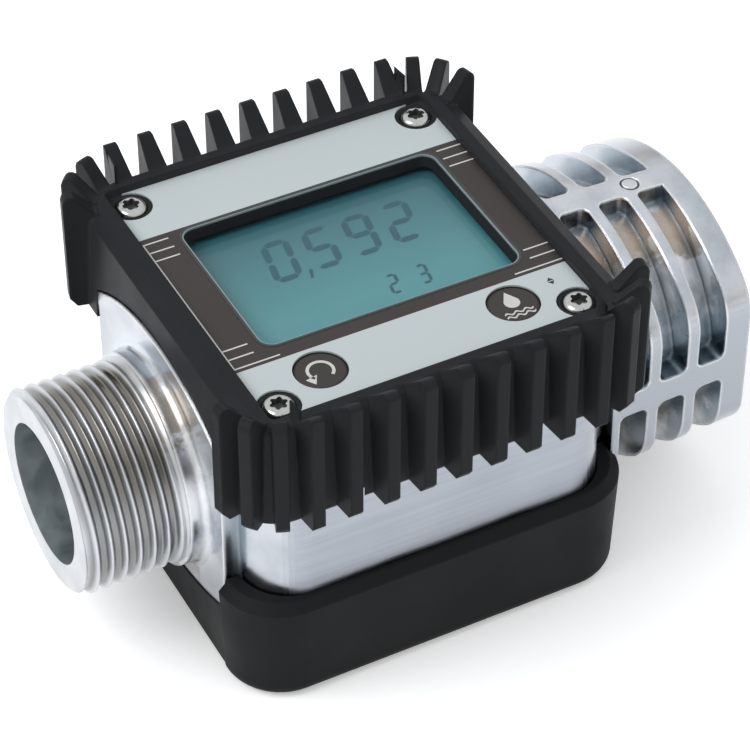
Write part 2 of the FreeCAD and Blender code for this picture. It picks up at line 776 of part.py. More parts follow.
# ---------------------------------------------------------------------------------------------
# Label, window, display and circuit board
# ---------------------------------------------------------------------------------------------
def make_face_label():
    piece = Piece("face_label", z="face_height")
    sheet_outline = piece.outline("XY_Plane").centred("label_half_x", "label_half_y", "label_corner")
    piece.pad(sheet_outline, "label_thickness")
    openings = piece.outline("XY_Plane", "label_thickness").rectangle(
        "-window_left", "window_right", "-window_front", "window_rear", "window_corner")
    for x in ("-button_x", "button_x"):
        openings.circle(x, "-button_y", "button_radius + button_gap")
    piece.pocket(openings, "label_thickness")
    notches = piece.outline("XY_Plane", "label_thickness")
    for x, y in corners("screw_x", "screw_y"):
        notches.circle(x, y, "label_screw_radius")
    piece.pocket(notches, "label_thickness")
    tips = piece.outline("XY_Plane", "label_thickness")
    for x, y in corners("", ""):
        across = [f"{x}screw_x", f"{x}(label_half_x + 1)"]
        up = [f"{y}screw_y", f"{y}(label_half_y + 1)"]
        tips.rectangle(*across, *up)
    piece.pocket(tips, "label_thickness")


def make_display():
    window = Piece("display_window", z="cavity_top - glass_thickness - 0.05")
    window.pad(window.outline("XY_Plane").rectangle(
        "-window_left - window_lip", "window_right + window_lip",
        "-window_front - window_lip", "window_rear + window_lip", "window_corner"), "glass_thickness")

    panel = Piece("lcd_panel", z="cavity_top - glass_thickness - 0.15 - lcd_thickness")
    panel.pad(panel.outline("XY_Plane").rectangle(
        "-window_left - 1", "window_right + 1", "-window_front - 1", "window_rear + 1"),
        "lcd_thickness")

    bottom = "board_height + board_thickness + 0.05"
    top = "cavity_top - glass_thickness - lcd_thickness - 0.2"
    holder = Piece("lcd_holder", z=bottom)
    holder.pad(holder.outline("XY_Plane").rectangle(
        "-window_left - 1 - holder_wall", "window_right + 1 + holder_wall",
        "-window_front - 1 - holder_wall", "window_rear + 1 + holder_wall", "2"),
        f"{top} - ({bottom})")
    holder.pocket(holder.outline("XY_Plane", f"{top} - ({bottom})").rectangle(
        "-window_left + 2", "window_right - 2", "-window_front", "window_rear"), f"{top} - ({bottom})")

    for label, y in (("front_contact_strip", "-window_front + 0.2"),
                     ("rear_contact_strip", "window_rear - strip_width - 0.2")):
        strip = Piece(label, y=y, z=bottom)
        strip.pad(strip.outline("XY_Plane").rectangle(
            "-window_left + 3", "window_right - 3", "0", "strip_width"), f"{top} - ({bottom}) + 0.02")


def make_circuit_board():
    piece = Piece("circuit_board", z="board_height")
    piece.pad(piece.outline("XY_Plane").centred("board_half_x", "board_half_y", "1"), "board_thickness")
    notches = piece.outline("XY_Plane", "board_thickness")
    for x, y in corners("screw_x", "screw_y"):
        notches.circle(x, y, "post_radius + wall_gap")
    piece.pocket(notches, "board_thickness")

    for label, x in (("reset_switch", "-button_x"), ("flow_rate_switch", "button_x")):
        switch = Piece(label, x=x, y="-button_y", z="board_height + board_thickness + 0.02")
        switch.pad(switch.outline("XY_Plane").centred("switch_side / 2", "switch_side / 2"),
                   "switch_height - 0.3")
        switch.pad(switch.outline("XY_Plane", "switch_height - 0.4").circle("0", "0", "stem_radius"), "0.4")

    sensor = Piece("pulse_sensor", z="board_height - 0.02")
    sensor.pad(sensor.outline("XY_Plane").centred("5", "1.3", "0.6"), "1.5", reverse=True)


def make_button(label, x):
    piece = Piece(label, x=x, y="-button_y")
    low = "board_height + board_thickness + switch_height + button_travel + switch_gap"
    bottom = button_bottom()
    piece.turn(piece.outline("XZ_Plane").polygon(
        ("0", low),
        ("stem_radius", low),
        ("stem_radius", bottom),
        ("button_radius", bottom),
        ("button_radius", f"{bottom} + 0.7 * button_thickness"),
        ("button_radius - 0.4", f"{bottom} + button_thickness"),
        ("0", f"{bottom} + button_thickness")), "Z_Axis")


def make_frame_gasket():
    piece = Piece("frame_gasket", z="block_top")
    outer = "block_half - 0.3"
    piece.pad(piece.outline("XY_Plane").centred(outer, outer, "block_corner - 0.3"),
              "ledge_height - block_top - 0.02")
    inner = f"{outer} - gasket_width"
    piece.pocket(piece.outline("XY_Plane", "ledge_height - block_top").centred(
        inner, inner, "block_corner - 0.3 - gasket_width"), "ledge_height - block_top")


def make_frame_screws():
    names = ("left_front", "left_rear", "right_front", "right_rear")
    for name, (x, y) in zip(names, corners("screw_x", "screw_y")):
        piece = Piece(f"frame_screw_{name}", x=x, y=y, z=screw_seat())
        piece.turn(piece.outline("XZ_Plane").polygon(
            ("0", "-screw_length"),
            ("screw_shank_radius - 0.5", "-screw_length"),
            ("screw_shank_radius", "-screw_length + 0.8"),
            ("screw_shank_radius", "0"),
            ("screw_head_radius", "0"),
            ("screw_head_radius", "0.4 * screw_head_height"),
            ("0.75 * screw_head_radius", "0.85 * screw_head_height"),
            ("0.4 * screw_head_radius", "screw_head_height"),
            ("0", "screw_head_height")), "Z_Axis")


# ---------------------------------------------------------------------------------------------
# Turbine, drawn about the flow axis
# ---------------------------------------------------------------------------------------------
def blade(start, end, steps=3):
    """One twisted blade from a ruled loft through turned rectangles."""
    half = value("blade_thickness") / 2
    inner, outer = value("rotor_hub_radius - 0.6"), value("rotor_radius")
    wires = []
    for i in range(steps + 1):
        share = i / steps
        x = start + (end - start) * share
        turn = math.radians(value("blade_twist")) * (share - 0.5)
        corners_yz = [(-half, inner), (half, inner), (half, outer), (-half, outer)]
        points = [V(x, y * math.cos(turn) - z * math.sin(turn), y * math.sin(turn) + z * math.cos(turn))
                  for y, z in corners_yz]
        wires.append(Part.makePolygon(points + points[:1]))
    return Part.makeLoft(wires, True, True)


def make_turbine():
    half = value("rotor_half_length")
    hub = Part.makeCylinder(value("rotor_hub_radius"), 2 * half, V(-half, 0, 0), V(1, 0, 0))
    first = blade(-half + 0.6, half - 0.6)
    count = int(value("blade_count"))
    blades = []
    for i in range(count):
        copy = first.copy()
        copy.rotate(V(0, 0, 0), V(1, 0, 0), 360 * i / count)
        blades.append(copy)
    rotor = hub.multiFuse(blades).removeSplitter()
    shaft_hole = Part.makeCylinder(
        value("shaft_radius + 0.4"), 2 * half + 2, V(-half - 1, 0, 0), V(1, 0, 0))
    rotor = rotor.cut(shaft_hole)
    for side in (-1, 1):
        depth = value("bushing_length")
        start = V(half - depth if side > 0 else -half - 1, 0, 0)
        rotor = rotor.cut(Part.makeCylinder(value("bushing_radius"), depth + 1, start, V(1, 0, 0)))
        bore = Part.makeCylinder(value("magnet_radius"), 4, V(0, 0, 0), V(0, 0, side))
        bore.translate(V(0, 0, side * value("rotor_hub_radius - magnet_length")))
        turn = 180 / count
        bore.rotate(V(0, 0, 0), V(1, 0, 0), turn)
        rotor = rotor.cut(bore)
    item = doc.addObject("Part::Feature", "turbine_rotor")
    item.Label = "turbine_rotor"
    item.Shape = rotor
    place(item, z="axis_height")
    PIECES.append(item)

    for label, side in (("front_bushing", "-1"), ("rear_bushing", "1")):
        body_of_revolution(label, "0", "0", "axis_height", [
            (f"{side} * rotor_half_length", "shaft_radius + shaft_gap"),
            (f"{side} * (rotor_half_length - bushing_length)", "shaft_radius + shaft_gap"),
            (f"{side} * (rotor_half_length - bushing_length)", "bushing_radius"),
            (f"{side} * rotor_half_length", "bushing_radius")])

    for label, side in (("upper_magnet", 1), ("lower_magnet", -1)):
        magnet = Piece(label, z="axis_height")
        bind(magnet.body, Placement__Rotation__Angle="180 / blade_count * 1 deg")
        magnet.body.Placement.Rotation.Axis = V(1, 0, 0)
        start = f"{side} * (rotor_hub_radius - magnet_length)"
        magnet.pad(magnet.outline("XY_Plane", start).circle("0", "0", "magnet_radius"),
                   "magnet_length - 0.3", reverse=side < 0)


def make_flow_guides():
    body_of_revolution("rotor_shaft", "0", "0", "axis_height", [
        ("-rotor_half_length - end_play - guide_length + 1", "0"),
        ("rotor_half_length + end_play + guide_length - 1", "0"),
        ("rotor_half_length + end_play + guide_length - 1", "shaft_radius"),
        ("-rotor_half_length - end_play - guide_length + 1", "shaft_radius")])
    for label, side in (("inlet_guide", "-1"), ("outlet_guide", "1")):
        piece = Piece(label, z="axis_height")
        near = "rotor_half_length + end_play"
        far = f"{near} + guide_length"
        piece.turn(piece.outline("XZ_Plane").polygon(
            (f"{side} * ({near})", "shaft_radius"),
            (f"{side} * ({near})", "guide_hub_radius"),
            (f"{side} * ({far})", "guide_hub_radius"),
            (f"{side} * ({far} + 0.6 * guide_nose)", "0.65 * guide_hub_radius"),
            (f"{side} * ({far} + guide_nose)", "0.15 * guide_hub_radius"),
            (f"{side} * ({far} + guide_nose)", "0"),
            (f"{side} * ({far} - 1)", "0"),
            (f"{side} * ({far} - 1)", "shaft_radius")))
        vane = piece.pad(piece.outline("XZ_Plane").rectangle(
            *sorted_ends(side, near, far), "guide_hub_radius - 0.8", "bore_radius - vane_gap"),
            "vane_thickness", both_ways=True)
        doc.recompute()
        piece.ring([vane], "X_Axis", "vane_count")

    for label, side in (("inlet_retaining_ring", "-1"), ("outlet_retaining_ring", "1")):
        low, high = clip_place(side)
        piece = Piece(label, z="axis_height")
        outer = "bore_radius + groove_depth - clip_gap"
        piece.pad(piece.outline("YZ_Plane", low).circle("0", "0", outer), "clip_thickness")
        piece.pocket(piece.outline("YZ_Plane", high).circle("0", "0", f"{outer} - clip_width"),
                     "clip_thickness")
        reach = f"({outer} + 1) / cos(clip_opening / 2 * 1 deg)"
        gap = f"({reach}) * sin(clip_opening / 2 * 1 deg)"
        piece.pocket(piece.outline("YZ_Plane", high).polygon(
            ("0", "0"), (gap, f"-({outer}) - 1"), (f"-({gap})", f"-({outer}) - 1")), "clip_thickness")


def sorted_ends(side, near, far):
    if side == "1":
        return near, far
    return f"-({far})", f"-({near})"


# ---------------------------------------------------------------------------------------------
# Battery cover and what it holds
# ---------------------------------------------------------------------------------------------
def make_battery_cover():
    piece = Piece("battery_cover")
    base = piece.outline("XY_Plane").centred("cover_half_x", "cover_half_y", "cover_corner")
    shell = piece.pad(base, "cover_height", taper="atan(cover_flare / cover_height)")
    shell = piece.round(shell, "cover_edge", at_height("0"))
    shell = piece.round(shell, "cover_lip", at_height("cover_height"), "Chamfer")

    skirt = "block_half + wall_gap"
    ledge = "block_bottom - gasket_thickness"
    piece.pocket(piece.outline("XY_Plane", "cover_height").centred(
        skirt, skirt, "block_corner + wall_gap"), f"cover_height - ({ledge})")
    piece.pocket(piece.outline("XY_Plane", ledge).centred(
        "bay_half_x", "bay_half_y", "bay_corner"), f"{ledge} - cover_floor")

    # notches in the end walls for the body's end plates and, at the outlet, the collar's root
    for face in ("-cover_half_x - cover_flare - 1", "cover_half_x + cover_flare + 1"):
        arch = piece.outline("YZ_Plane", face).arch(
            "plate_half + wall_gap", "cover_height + 1", "plate_low - wall_gap", "plate_foot_arc + wall_gap")
        piece.pocket(arch, "cover_half_x + cover_flare + 1 - block_half + wall_gap",
                     reverse=face[0] == "-")
    root = piece.outline("YZ_Plane", "cover_half_x + cover_flare + 1").rectangle(
        "-(collar_half_y + collar_flare + wall_gap)", "collar_half_y + collar_flare + wall_gap",
        "axis_height - (collar_half_z + collar_flare + wall_gap)", "axis_height + collar_half_z",
        "collar_corner + collar_flare + wall_gap")
    piece.pocket(root, "cover_half_x + cover_flare + 1 - collar_back + wall_gap")
    recess = piece.outline("XY_Plane").rectangle(
        "-cover_half_x - 2", "-cover_half_x + cover_recess", "-plate_half - 0.6", "plate_half + 0.6")
    piece.pocket(recess, "cover_height", reverse=True)

    holes = piece.outline("XY_Plane")
    sinks = piece.outline("XY_Plane")
    for x, y in corners("cover_screw_x", "cover_screw_y"):
        holes.circle(x, y, "cover_screw_shank + screw_gap")
        sinks.circle(x, y, "cover_screw_head + screw_gap")
    piece.pocket(holes, "block_bottom", reverse=True)
    piece.pocket(sinks, "cover_screw_sink", reverse=True)

    gasket = Piece("cover_gasket", z=ledge)
    gasket.pad(gasket.outline("XY_Plane").centred(
        "bay_half_x + gasket_gap + gasket_width", "bay_half_y + gasket_gap + gasket_width",
        "bay_corner + gasket_gap + gasket_width"), "gasket_thickness - 0.02")
    gasket.pocket(gasket.outline("XY_Plane", "gasket_thickness").centred(
        "bay_half_x + gasket_gap", "bay_half_y + gasket_gap", "bay_corner + gasket_gap"),
        "gasket_thickness")

    names = ("left_front", "left_rear", "right_front", "right_rear")
    for name, (x, y) in zip(names, corners("cover_screw_x", "cover_screw_y")):
        body_of_revolution(f"cover_screw_{name}", x, y, "cover_screw_sink", [
            ("0", "-1.2"),
            ("cover_screw_head - 0.4", "-1.2"),
            ("cover_screw_head", "-0.8"),
            ("cover_screw_head", "0"),
            ("cover_screw_shank", "0"),
            ("cover_screw_shank", "cover_screw_length - 0.6"),
            ("cover_screw_shank - 0.5", "cover_screw_length"),
            ("0", "cover_screw_length")], "Z_Axis")


def make_batteries():
    centre = "cover_floor + cell_gap + cell_radius"
    for label, side, turn in (("front_battery", "-1", 0), ("rear_battery", "1", 180)):
        cell_piece = body_of_revolution(label, "0", f"{side} * cell_spacing / 2", centre, [
            ("-cell_length / 2", "0"),
            ("-cell_length / 2", "cell_radius - 0.4"),
            ("-cell_length / 2 + 0.4", "cell_radius"),
            ("cell_length / 2 - 0.4", "cell_radius"),
            ("cell_length / 2", "cell_radius - 0.4"),
            ("cell_length / 2", "cell_pip_radius"),
            ("cell_length / 2 + cell_pip", "cell_pip_radius"),
            ("cell_length / 2 + cell_pip", "0")])
        cell_piece.body.Placement.Rotation = FreeCAD.Rotation(V(0, 0, 1), turn)

    # holder that hangs under the block, open below over each cell
    inside = "cell_length / 2 + cell_pip + spring_depth"
    roof = "block_bottom - 0.02"
    holder = Piece("battery_holder")
    holder.pad(holder.outline("XY_Plane", "cover_floor + 1").centred(
        f"{inside} + holder_end_wall", "holder_half_y", "1.5"), f"{roof} - cover_floor - 1")
    troughs = holder.outline("YZ_Plane")
    mouths = holder.outline("XY_Plane")
    for side in ("-1", "1"):
        middle = f"{side} * cell_spacing / 2"
        troughs.circle(middle, centre, "cell_radius + cell_gap")
        mouths.rectangle(f"-({inside})", inside, f"{middle} - cell_radius - cell_gap",
                         f"{middle} + cell_radius + cell_gap")
    holder.pocket(troughs, f"2 * ({inside})", both_ways=True)
    holder.pocket(mouths, centre, reverse=True)
    slots = holder.outline("XY_Plane")
    for side in ("-1", "1"):
        ends = sorted_ends(side, f"{inside} - spring_depth", inside)
        slots.rectangle(*ends, "-contact_length / 2 - 0.2", "contact_length / 2 + 0.2")
    holder.pocket(slots, f"{centre} + contact_width / 2 + 0.2", reverse=True)

    for label, turn in (("left_battery_contact", 0), ("right_battery_contact", 180)):
        contact = Piece(label, z=centre)
        start = f"-({inside}) + 0.02"
        contact.pad(contact.outline("XZ_Plane").polygon(
            (start, "-contact_width / 2"),
            (f"{start} + contact_thickness", "-contact_width / 2"),
            (f"{start} + 0.8 * spring_depth", "0"),
            (f"{start} + contact_thickness", "contact_width / 2"),
            (start, "contact_width / 2"),
            (f"{start} + 0.8 * spring_depth - contact_thickness", "0")), "contact_length",
            both_ways=True)
        contact.body.Placement.Rotation = FreeCAD.Rotation(V(0, 0, 1), turn)


def main():
    make_meter_body()
    frame = make_display_frame()
    hollow_display_frame(frame)
    make_face_label()
    make_display()
    make_circuit_board()
    make_button("reset_button", "-button_x")
    make_button("flow_rate_button", "button_x")
    make_frame_gasket()
    make_frame_screws()
    make_turbine()
    make_flow_guides()
    make_battery_cover()
    make_batteries()
    doc.recompute()
    check_and_write()


def check_and_write():
    for item in doc.Objects:
        if "Invalid" in item.State or "Error" in item.State:
            raise RuntimeError(f"{item.Label} failed: {item.State}")
    for item in PIECES:
        if item.Shape.isNull() or not item.Shape.isValid():
            raise RuntimeError(f"{item.Label} has no valid shape")
    os.makedirs("parts", exist_ok=True)
    for item in PIECES:
        item.Shape.exportStep(f"parts/{item.Label}.step")
        box = item.Shape.BoundBox
        print(f"{item.Label:28s} solids {len(item.Shape.Solids)}  volume {item.Shape.Volume:10.2f}  "
              f"x {box.XMin:7.2f} {box.XMax:7.2f}  y {box.YMin:7.2f} {box.YMax:7.2f}  "
              f"z {box.ZMin:7.2f} {box.ZMax:7.2f}")


main()
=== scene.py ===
"""Looks of the turbine flow meter: materials, threads, screw heads, display figures and stage.

Metres, in the same frame as the CAD: X along the flow, Y to the rear, Z up.
"""
import json
import math

import bmesh
import bpy
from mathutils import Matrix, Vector


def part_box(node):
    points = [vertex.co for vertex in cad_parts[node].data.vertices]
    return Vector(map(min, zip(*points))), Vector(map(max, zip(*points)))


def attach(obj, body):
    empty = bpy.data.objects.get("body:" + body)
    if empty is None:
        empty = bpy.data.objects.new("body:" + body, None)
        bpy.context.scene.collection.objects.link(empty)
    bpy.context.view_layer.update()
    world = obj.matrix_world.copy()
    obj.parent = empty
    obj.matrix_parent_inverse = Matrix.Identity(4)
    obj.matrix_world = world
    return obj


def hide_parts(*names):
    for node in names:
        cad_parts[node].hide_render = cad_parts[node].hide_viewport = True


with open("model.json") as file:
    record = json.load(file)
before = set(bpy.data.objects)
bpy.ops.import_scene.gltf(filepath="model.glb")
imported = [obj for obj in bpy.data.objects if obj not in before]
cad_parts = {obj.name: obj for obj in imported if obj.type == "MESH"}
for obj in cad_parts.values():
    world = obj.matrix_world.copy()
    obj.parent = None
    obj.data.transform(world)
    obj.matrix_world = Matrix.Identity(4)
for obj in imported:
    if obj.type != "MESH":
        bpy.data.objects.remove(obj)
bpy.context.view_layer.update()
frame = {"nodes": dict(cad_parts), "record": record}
nodes = frame["nodes"]

MM = 0.001

rotor_low, rotor_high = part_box("turbine_rotor")
AXIS_Z = (rotor_low.z + rotor_high.z) / 2

# pipe threads: their form, their crest radii and the two ends of each along the flow axis
PITCH = 2.309 * MM
THREAD_DEPTH = 1.05 * MM
CREST = {mount["name"]: mount["dims"].get("r_mm", 0) * MM for mount in frame["record"]["mounts"]}
SPIGOT_RADIUS = CREST["male_port"]
PORT_RADIUS = CREST["female_port"]
body_low, body_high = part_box("meter_body")
SPIGOT_FACE = body_low.x
SPIGOT_ROOT = SPIGOT_FACE + 16.6 * MM
SPIGOT_CHAMFER = 0.9 * MM
PORT_FACE = body_high.x
PORT_SHOULDER = PORT_FACE - 19 * MM
PORT_CHAMFER = 1.6 * MM


# ---------------------------------------------------------------------------------------------
# Helpers for node materials
# ---------------------------------------------------------------------------------------------
class Nodes:
    """A node tree, with one short call for each kind of node that the looks are made of."""

    def __init__(self, tree, coordinates):
        self.tree = tree
        self.place = self.node("ShaderNodeTexCoord").outputs[coordinates]

    def node(self, kind, **settings):
        item = self.tree.nodes.new(kind)
        for name, setting in settings.items():
            setattr(item, name, setting)
        return item

    def link(self, source, target):
        self.tree.links.new(source, target)

    def feed(self, sockets, sources):
        """Link each socket to an output, or set it to a plain value."""
        for socket, source in zip(sockets, sources):
            if isinstance(source, bpy.types.NodeSocket):
                self.link(source, socket)
            else:
                socket.default_value = source

    def noise(self, scale, stretch=(1, 1, 1), detail=3.0, roughness=0.5):
        """Noise over the tree's coordinates; on an object, scale is in cells per metre."""
        mapping = self.node("ShaderNodeMapping")
        mapping.inputs["Scale"].default_value = stretch
        self.link(self.place, mapping.inputs["Vector"])
        noise = self.node("ShaderNodeTexNoise")
        noise.inputs["Scale"].default_value = scale
        noise.inputs["Detail"].default_value = detail
        noise.inputs["Roughness"].default_value = roughness
        self.link(mapping.outputs["Vector"], noise.inputs["Vector"])
        return noise.outputs["Fac"]

    def span(self, source, low, high, start=0.0, end=1.0, curve="LINEAR"):
        """Map a value from the range start..end onto low..high."""
        item = self.node("ShaderNodeMapRange", interpolation_type=curve)
        item.inputs["From Min"].default_value = start
        item.inputs["From Max"].default_value = end
        item.inputs["To Min"].default_value = low
        item.inputs["To Max"].default_value = high
        self.link(source, item.inputs["Value"])
        return item.outputs["Result"]

    def math(self, operation, *sources):
        item = self.node("ShaderNodeMath", operation=operation)
        self.feed(item.inputs, sources)
        return item.outputs["Value"]

    def vector_math(self, operation, *sources):
        item = self.node("ShaderNodeVectorMath", operation=operation)
        self.feed(item.inputs, sources)
        return item.outputs

    def axes(self, source):
        """X, Y and Z of a vector."""
        item = self.node("ShaderNodeSeparateXYZ")
        self.link(source, item.inputs["Vector"])
        return item.outputs

    def blend(self, factor, first, second):
        """Colour between two colours or colour sources."""
        item = self.node("ShaderNodeMix", data_type="RGBA")
        self.link(factor, item.inputs["Factor"])
        colors = [(*color, 1) if isinstance(color, tuple) else color for color in (first, second)]
        self.feed([socket for socket in item.inputs if socket.type == "RGBA"], colors)
        return next(socket for socket in item.outputs if socket.type == "RGBA")


class Material(Nodes):
    """A node material around one Principled shader, painted in the object's own coordinates."""

    def __init__(self, name, color, roughness, metallic=0.0, **sockets):
        self.material = bpy.data.materials.new(name)
        self.material.use_nodes = True
        self.material.diffuse_color = (*color, 1)
        super().__init__(self.material.node_tree, "Object")
        self.shader = self.tree.nodes["Principled BSDF"]
        self.shader.inputs["Base Color"].default_value = (*color, 1)
        self.shader.inputs["Roughness"].default_value = roughness
        self.shader.inputs["Metallic"].default_value = metallic
        for socket, setting in sockets.items():
            self.shader.inputs[socket.replace("_", " ")].default_value = setting

    def openness(self, samples):
        """1 on open surfaces, less in the object's own hollows."""
        item = self.node("ShaderNodeAmbientOcclusion", samples=samples, only_local=True)
        item.inputs["Distance"].default_value = HOLLOW_REACH
        return item.outputs["AO"]

    def bevel(self, radius):
        """Normal of the surface with its edges rounded."""
        item = self.node("ShaderNodeBevel", samples=4)
        item.inputs["Radius"].default_value = radius
        return item.outputs["Normal"]

    def color(self, source):
        self.link(source, self.shader.inputs["Base Color"])

    def roughness(self, source):
        self.link(source, self.shader.inputs["Roughness"])

    def bump(self, source, height, strength, edge=0.0):
        """Surface relief of a given height in metres, with edges softened by a bevel radius."""
        item = self.node("ShaderNodeBump")
        item.inputs["Strength"].default_value = strength
        item.inputs["Distance"].default_value = height
        self.link(source, item.inputs["Height"])
        if edge:
            self.link(self.bevel(edge), item.inputs["Normal"])
        self.link(item.outputs["Normal"], self.shader.inputs["Normal"])


# ---------------------------------------------------------------------------------------------
# Materials
# ---------------------------------------------------------------------------------------------
HOLLOW_REACH = 6 * MM


def cast_aluminium():
    """Bright die casting: soft blotches, fine grain, a brushed block, and painted shade,
    reflections and highlights.
    """
    look = Material("cast_aluminium", (0.62, 0.64, 0.67), 0.26, 1.0)
    blotches = look.noise(110, detail=4)
    zone_wobble = look.noise(260, detail=5, roughness=0.6)
    grain = look.noise(2600, detail=2)
    streaks = look.noise(900, stretch=(0.03, 1, 1.6), detail=4, roughness=0.6)
    at = look.axes(look.place)
    surface = look.node("ShaderNodeNewGeometry").outputs

    # faces square to Y are painted greyer as shade, and those of the block are brushed along the
    # flow
    facing = look.math("ABSOLUTE", look.axes(surface["True Normal"])["Y"])
    flat = look.span(facing, 0, 1, 0.85, 0.995)
    block = look.span(look.math("ABSOLUTE", at["X"]), 1, 0, 31 * MM, 32 * MM)
    machined = look.math("MULTIPLY", flat, block)
    cast = look.blend(look.span(blotches, 0, 1, 0.35, 0.65),
                      (0.43, 0.46, 0.50), (0.62, 0.645, 0.68))
    cast = look.blend(flat, cast, (0.385, 0.41, 0.445))
    brushed = look.blend(look.span(streaks, 0, 1, 0.3, 0.7),
                         (0.385, 0.41, 0.455), (0.435, 0.465, 0.515))

    # painted reflections in the hollows, in zones from the front to the rear, with painted shade
    # darkest where it is deepest
    shade = look.openness(samples=8)
    zone = look.math("ADD", at["Y"], look.span(zone_wobble, -4 * MM, 4 * MM, 0.2, 0.8))
    stain_and_painted_light = look.blend(look.span(zone, 0, 1, -20 * MM, -17 * MM),
                       (0.36, 0.42, 0.47), (0.80, 0.81, 0.83))
    stain_and_painted_light = look.blend(look.span(zone, 0, 1, -12 * MM, -11 * MM), stain_and_painted_light, (0.42, 0.345, 0.27))
    stain_and_painted_light = look.blend(look.span(zone, 0, 1, -4 * MM, -2 * MM), stain_and_painted_light, (0.62, 0.67, 0.72))
    stain_and_painted_light = look.blend(look.span(shade, 0, 1, 0.36, 0.56), (0.17, 0.21, 0.24), stain_and_painted_light)
    open_air = look.span(shade, 0, 1, 0.60, 0.96)
    skin = look.blend(open_air, stain_and_painted_light, look.blend(machined, cast, brushed))

    # painted highlight on the edges, where the rounded normal leaves the plain one
    agree = look.vector_math("DOT_PRODUCT", look.bevel(0.7 * MM), surface["Normal"])["Value"]
    edge = look.math("MULTIPLY", look.span(agree, 1, 0, 0.90, 0.985), open_air)
    look.color(look.blend(edge, skin, (0.93, 0.94, 0.96)))
    look.roughness(look.math("ADD", look.span(blotches, 0.14, 0.30, 0.3, 0.7),
                             look.math("MULTIPLY", machined, 0.2)))
    relief = look.math("ADD", look.math("MULTIPLY", grain, 0.5),
                       look.math("MULTIPLY", streaks, machined))
    look.bump(relief, 0.03 * MM, 0.5, edge=0.8 * MM)
    return look.material


def turned_aluminium():
    """Lathe-cut metal of the thread and the pipe's end, with fine marks round the flow axis."""
    look = Material("turned_aluminium", (0.55, 0.57, 0.60), 0.34, 1.0)
    cloud = look.noise(150, detail=3)
    marks = look.noise(3500, stretch=(1, 0.05, 0.05), detail=2)
    stain_and_painted_light = look.noise(45, stretch=(0.4, 1, 1), detail=2)
    metal = look.blend(look.span(cloud, 0, 1, 0.3, 0.7), (0.48, 0.50, 0.53), (0.66, 0.68, 0.70))
    metal = look.blend(look.span(stain_and_painted_light, 0, 0.5, 0.55, 0.7), metal, (0.34, 0.30, 0.26))

    # bright crests over grooves darkened with painted shade, by the distance from the flow axis
    across = look.vector_math("MULTIPLY_ADD", look.place, (0, 1, 1), (0, 0, -AXIS_Z))["Vector"]
    radius = look.vector_math("LENGTH", across)["Value"]
    behind_face = look.span(look.axes(look.place)["X"], 0, 1,
                            SPIGOT_FACE + 0.3 * MM, SPIGOT_FACE + 1.2 * MM)
    groove = look.span(radius, 1, 0, SPIGOT_RADIUS - 0.85 * MM, SPIGOT_RADIUS - 0.2 * MM)
    groove = look.math("MULTIPLY", groove, behind_face)
    painted_groove_shade = look.blend(look.span(stain_and_painted_light, 0, 1, 0.4, 0.6), (0.29, 0.305, 0.32), (0.23, 0.215, 0.195))
    look.color(look.blend(groove, metal, painted_groove_shade))
    look.roughness(look.span(cloud, 0.28, 0.42, 0.3, 0.7))
    look.bump(marks, 0.02 * MM, 0.4, edge=0.15 * MM)
    return look.material


def moulded_plastic():
    """Black moulded plastic with a fine spark texture, slightly varied gloss and hollows painted
    lighter as bounce light.
    """
    look = Material("black_moulding", (0.012, 0.013, 0.014), 0.4, IOR=1.15)
    cloud = look.noise(120, detail=3)
    face = look.blend(cloud, (0.0135, 0.0147, 0.0162), (0.019, 0.0207, 0.023))
    open_air = look.span(look.openness(samples=6), 0, 1, 0.35, 0.9)
    # painted bounce light: the hollows are lighter than the open faces
    look.color(look.blend(open_air, (0.038, 0.040, 0.042), face))
    look.roughness(look.span(cloud, 0.32, 0.46, 0.3, 0.7))
    look.bump(look.noise(5200, detail=2), 0.02 * MM, 0.35, edge=0.6 * MM)
    return look.material


def cover_rubber():
    """Dull black of the end covers, with a coarser grain than the moulded frame."""
    look = Material("cover_rubber", (0.008, 0.0085, 0.009), 0.6, IOR=1.2)
    cloud = look.noise(90, detail=3)
    look.color(look.blend(cloud, (0.0072, 0.0077, 0.0084), (0.012, 0.0126, 0.0138)))
    look.roughness(look.span(cloud, 0.48, 0.66, 0.3, 0.7))
    look.bump(look.noise(3800, detail=3), 0.05 * MM, 0.4, edge=0.6 * MM)
    return look.material


def clear_window():
    """Clear plastic: transparent, with a glossy reflection that grows towards grazing angles."""
    look = Material("clear_window", (0.9, 0.95, 0.95), 0.05)
    clear = look.node("ShaderNodeBsdfTransparent")
    clear.inputs["Color"].default_value = (0.93, 0.96, 0.96, 1)
    gloss = look.node("ShaderNodeBsdfGlossy")
    look.link(look.span(look.noise(60), 0.03, 0.09), gloss.inputs["Roughness"])
    facing = look.node("ShaderNodeLayerWeight")
    facing.inputs["Blend"].default_value = 0.5
    grazing = look.math("POWER", facing.outputs["Facing"], 4)
    mix = look.node("ShaderNodeMixShader")
    look.feed(mix.inputs, (look.span(grazing, 0.02, 0.6), clear.outputs["BSDF"],
                           gloss.outputs["BSDF"]))
    look.link(mix.outputs["Shader"], look.tree.nodes["Material Output"].inputs["Surface"])
    return look.material


def liquid_crystal():
    """Grey-green panel, with a painted shadow of the window's rim darkening it towards its rear
    edge.
    """
    look = Material("liquid_crystal", (0.10, 0.29, 0.31), 0.4, Specular_IOR_Level=0.2)
    low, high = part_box("lcd_panel")
    fade = look.span(look.axes(look.place)["Y"], 0, 1, low.y + 8 * MM, high.y)
    face = look.blend(look.noise(70, detail=2), (0.085, 0.275, 0.30), (0.115, 0.32, 0.345))
    # painted shadow of the window's rim towards the panel's rear edge
    look.color(look.blend(fade, face, (0.040, 0.125, 0.155)))
    look.bump(look.noise(2400), 0.001 * MM, 0.2)
    return look.material


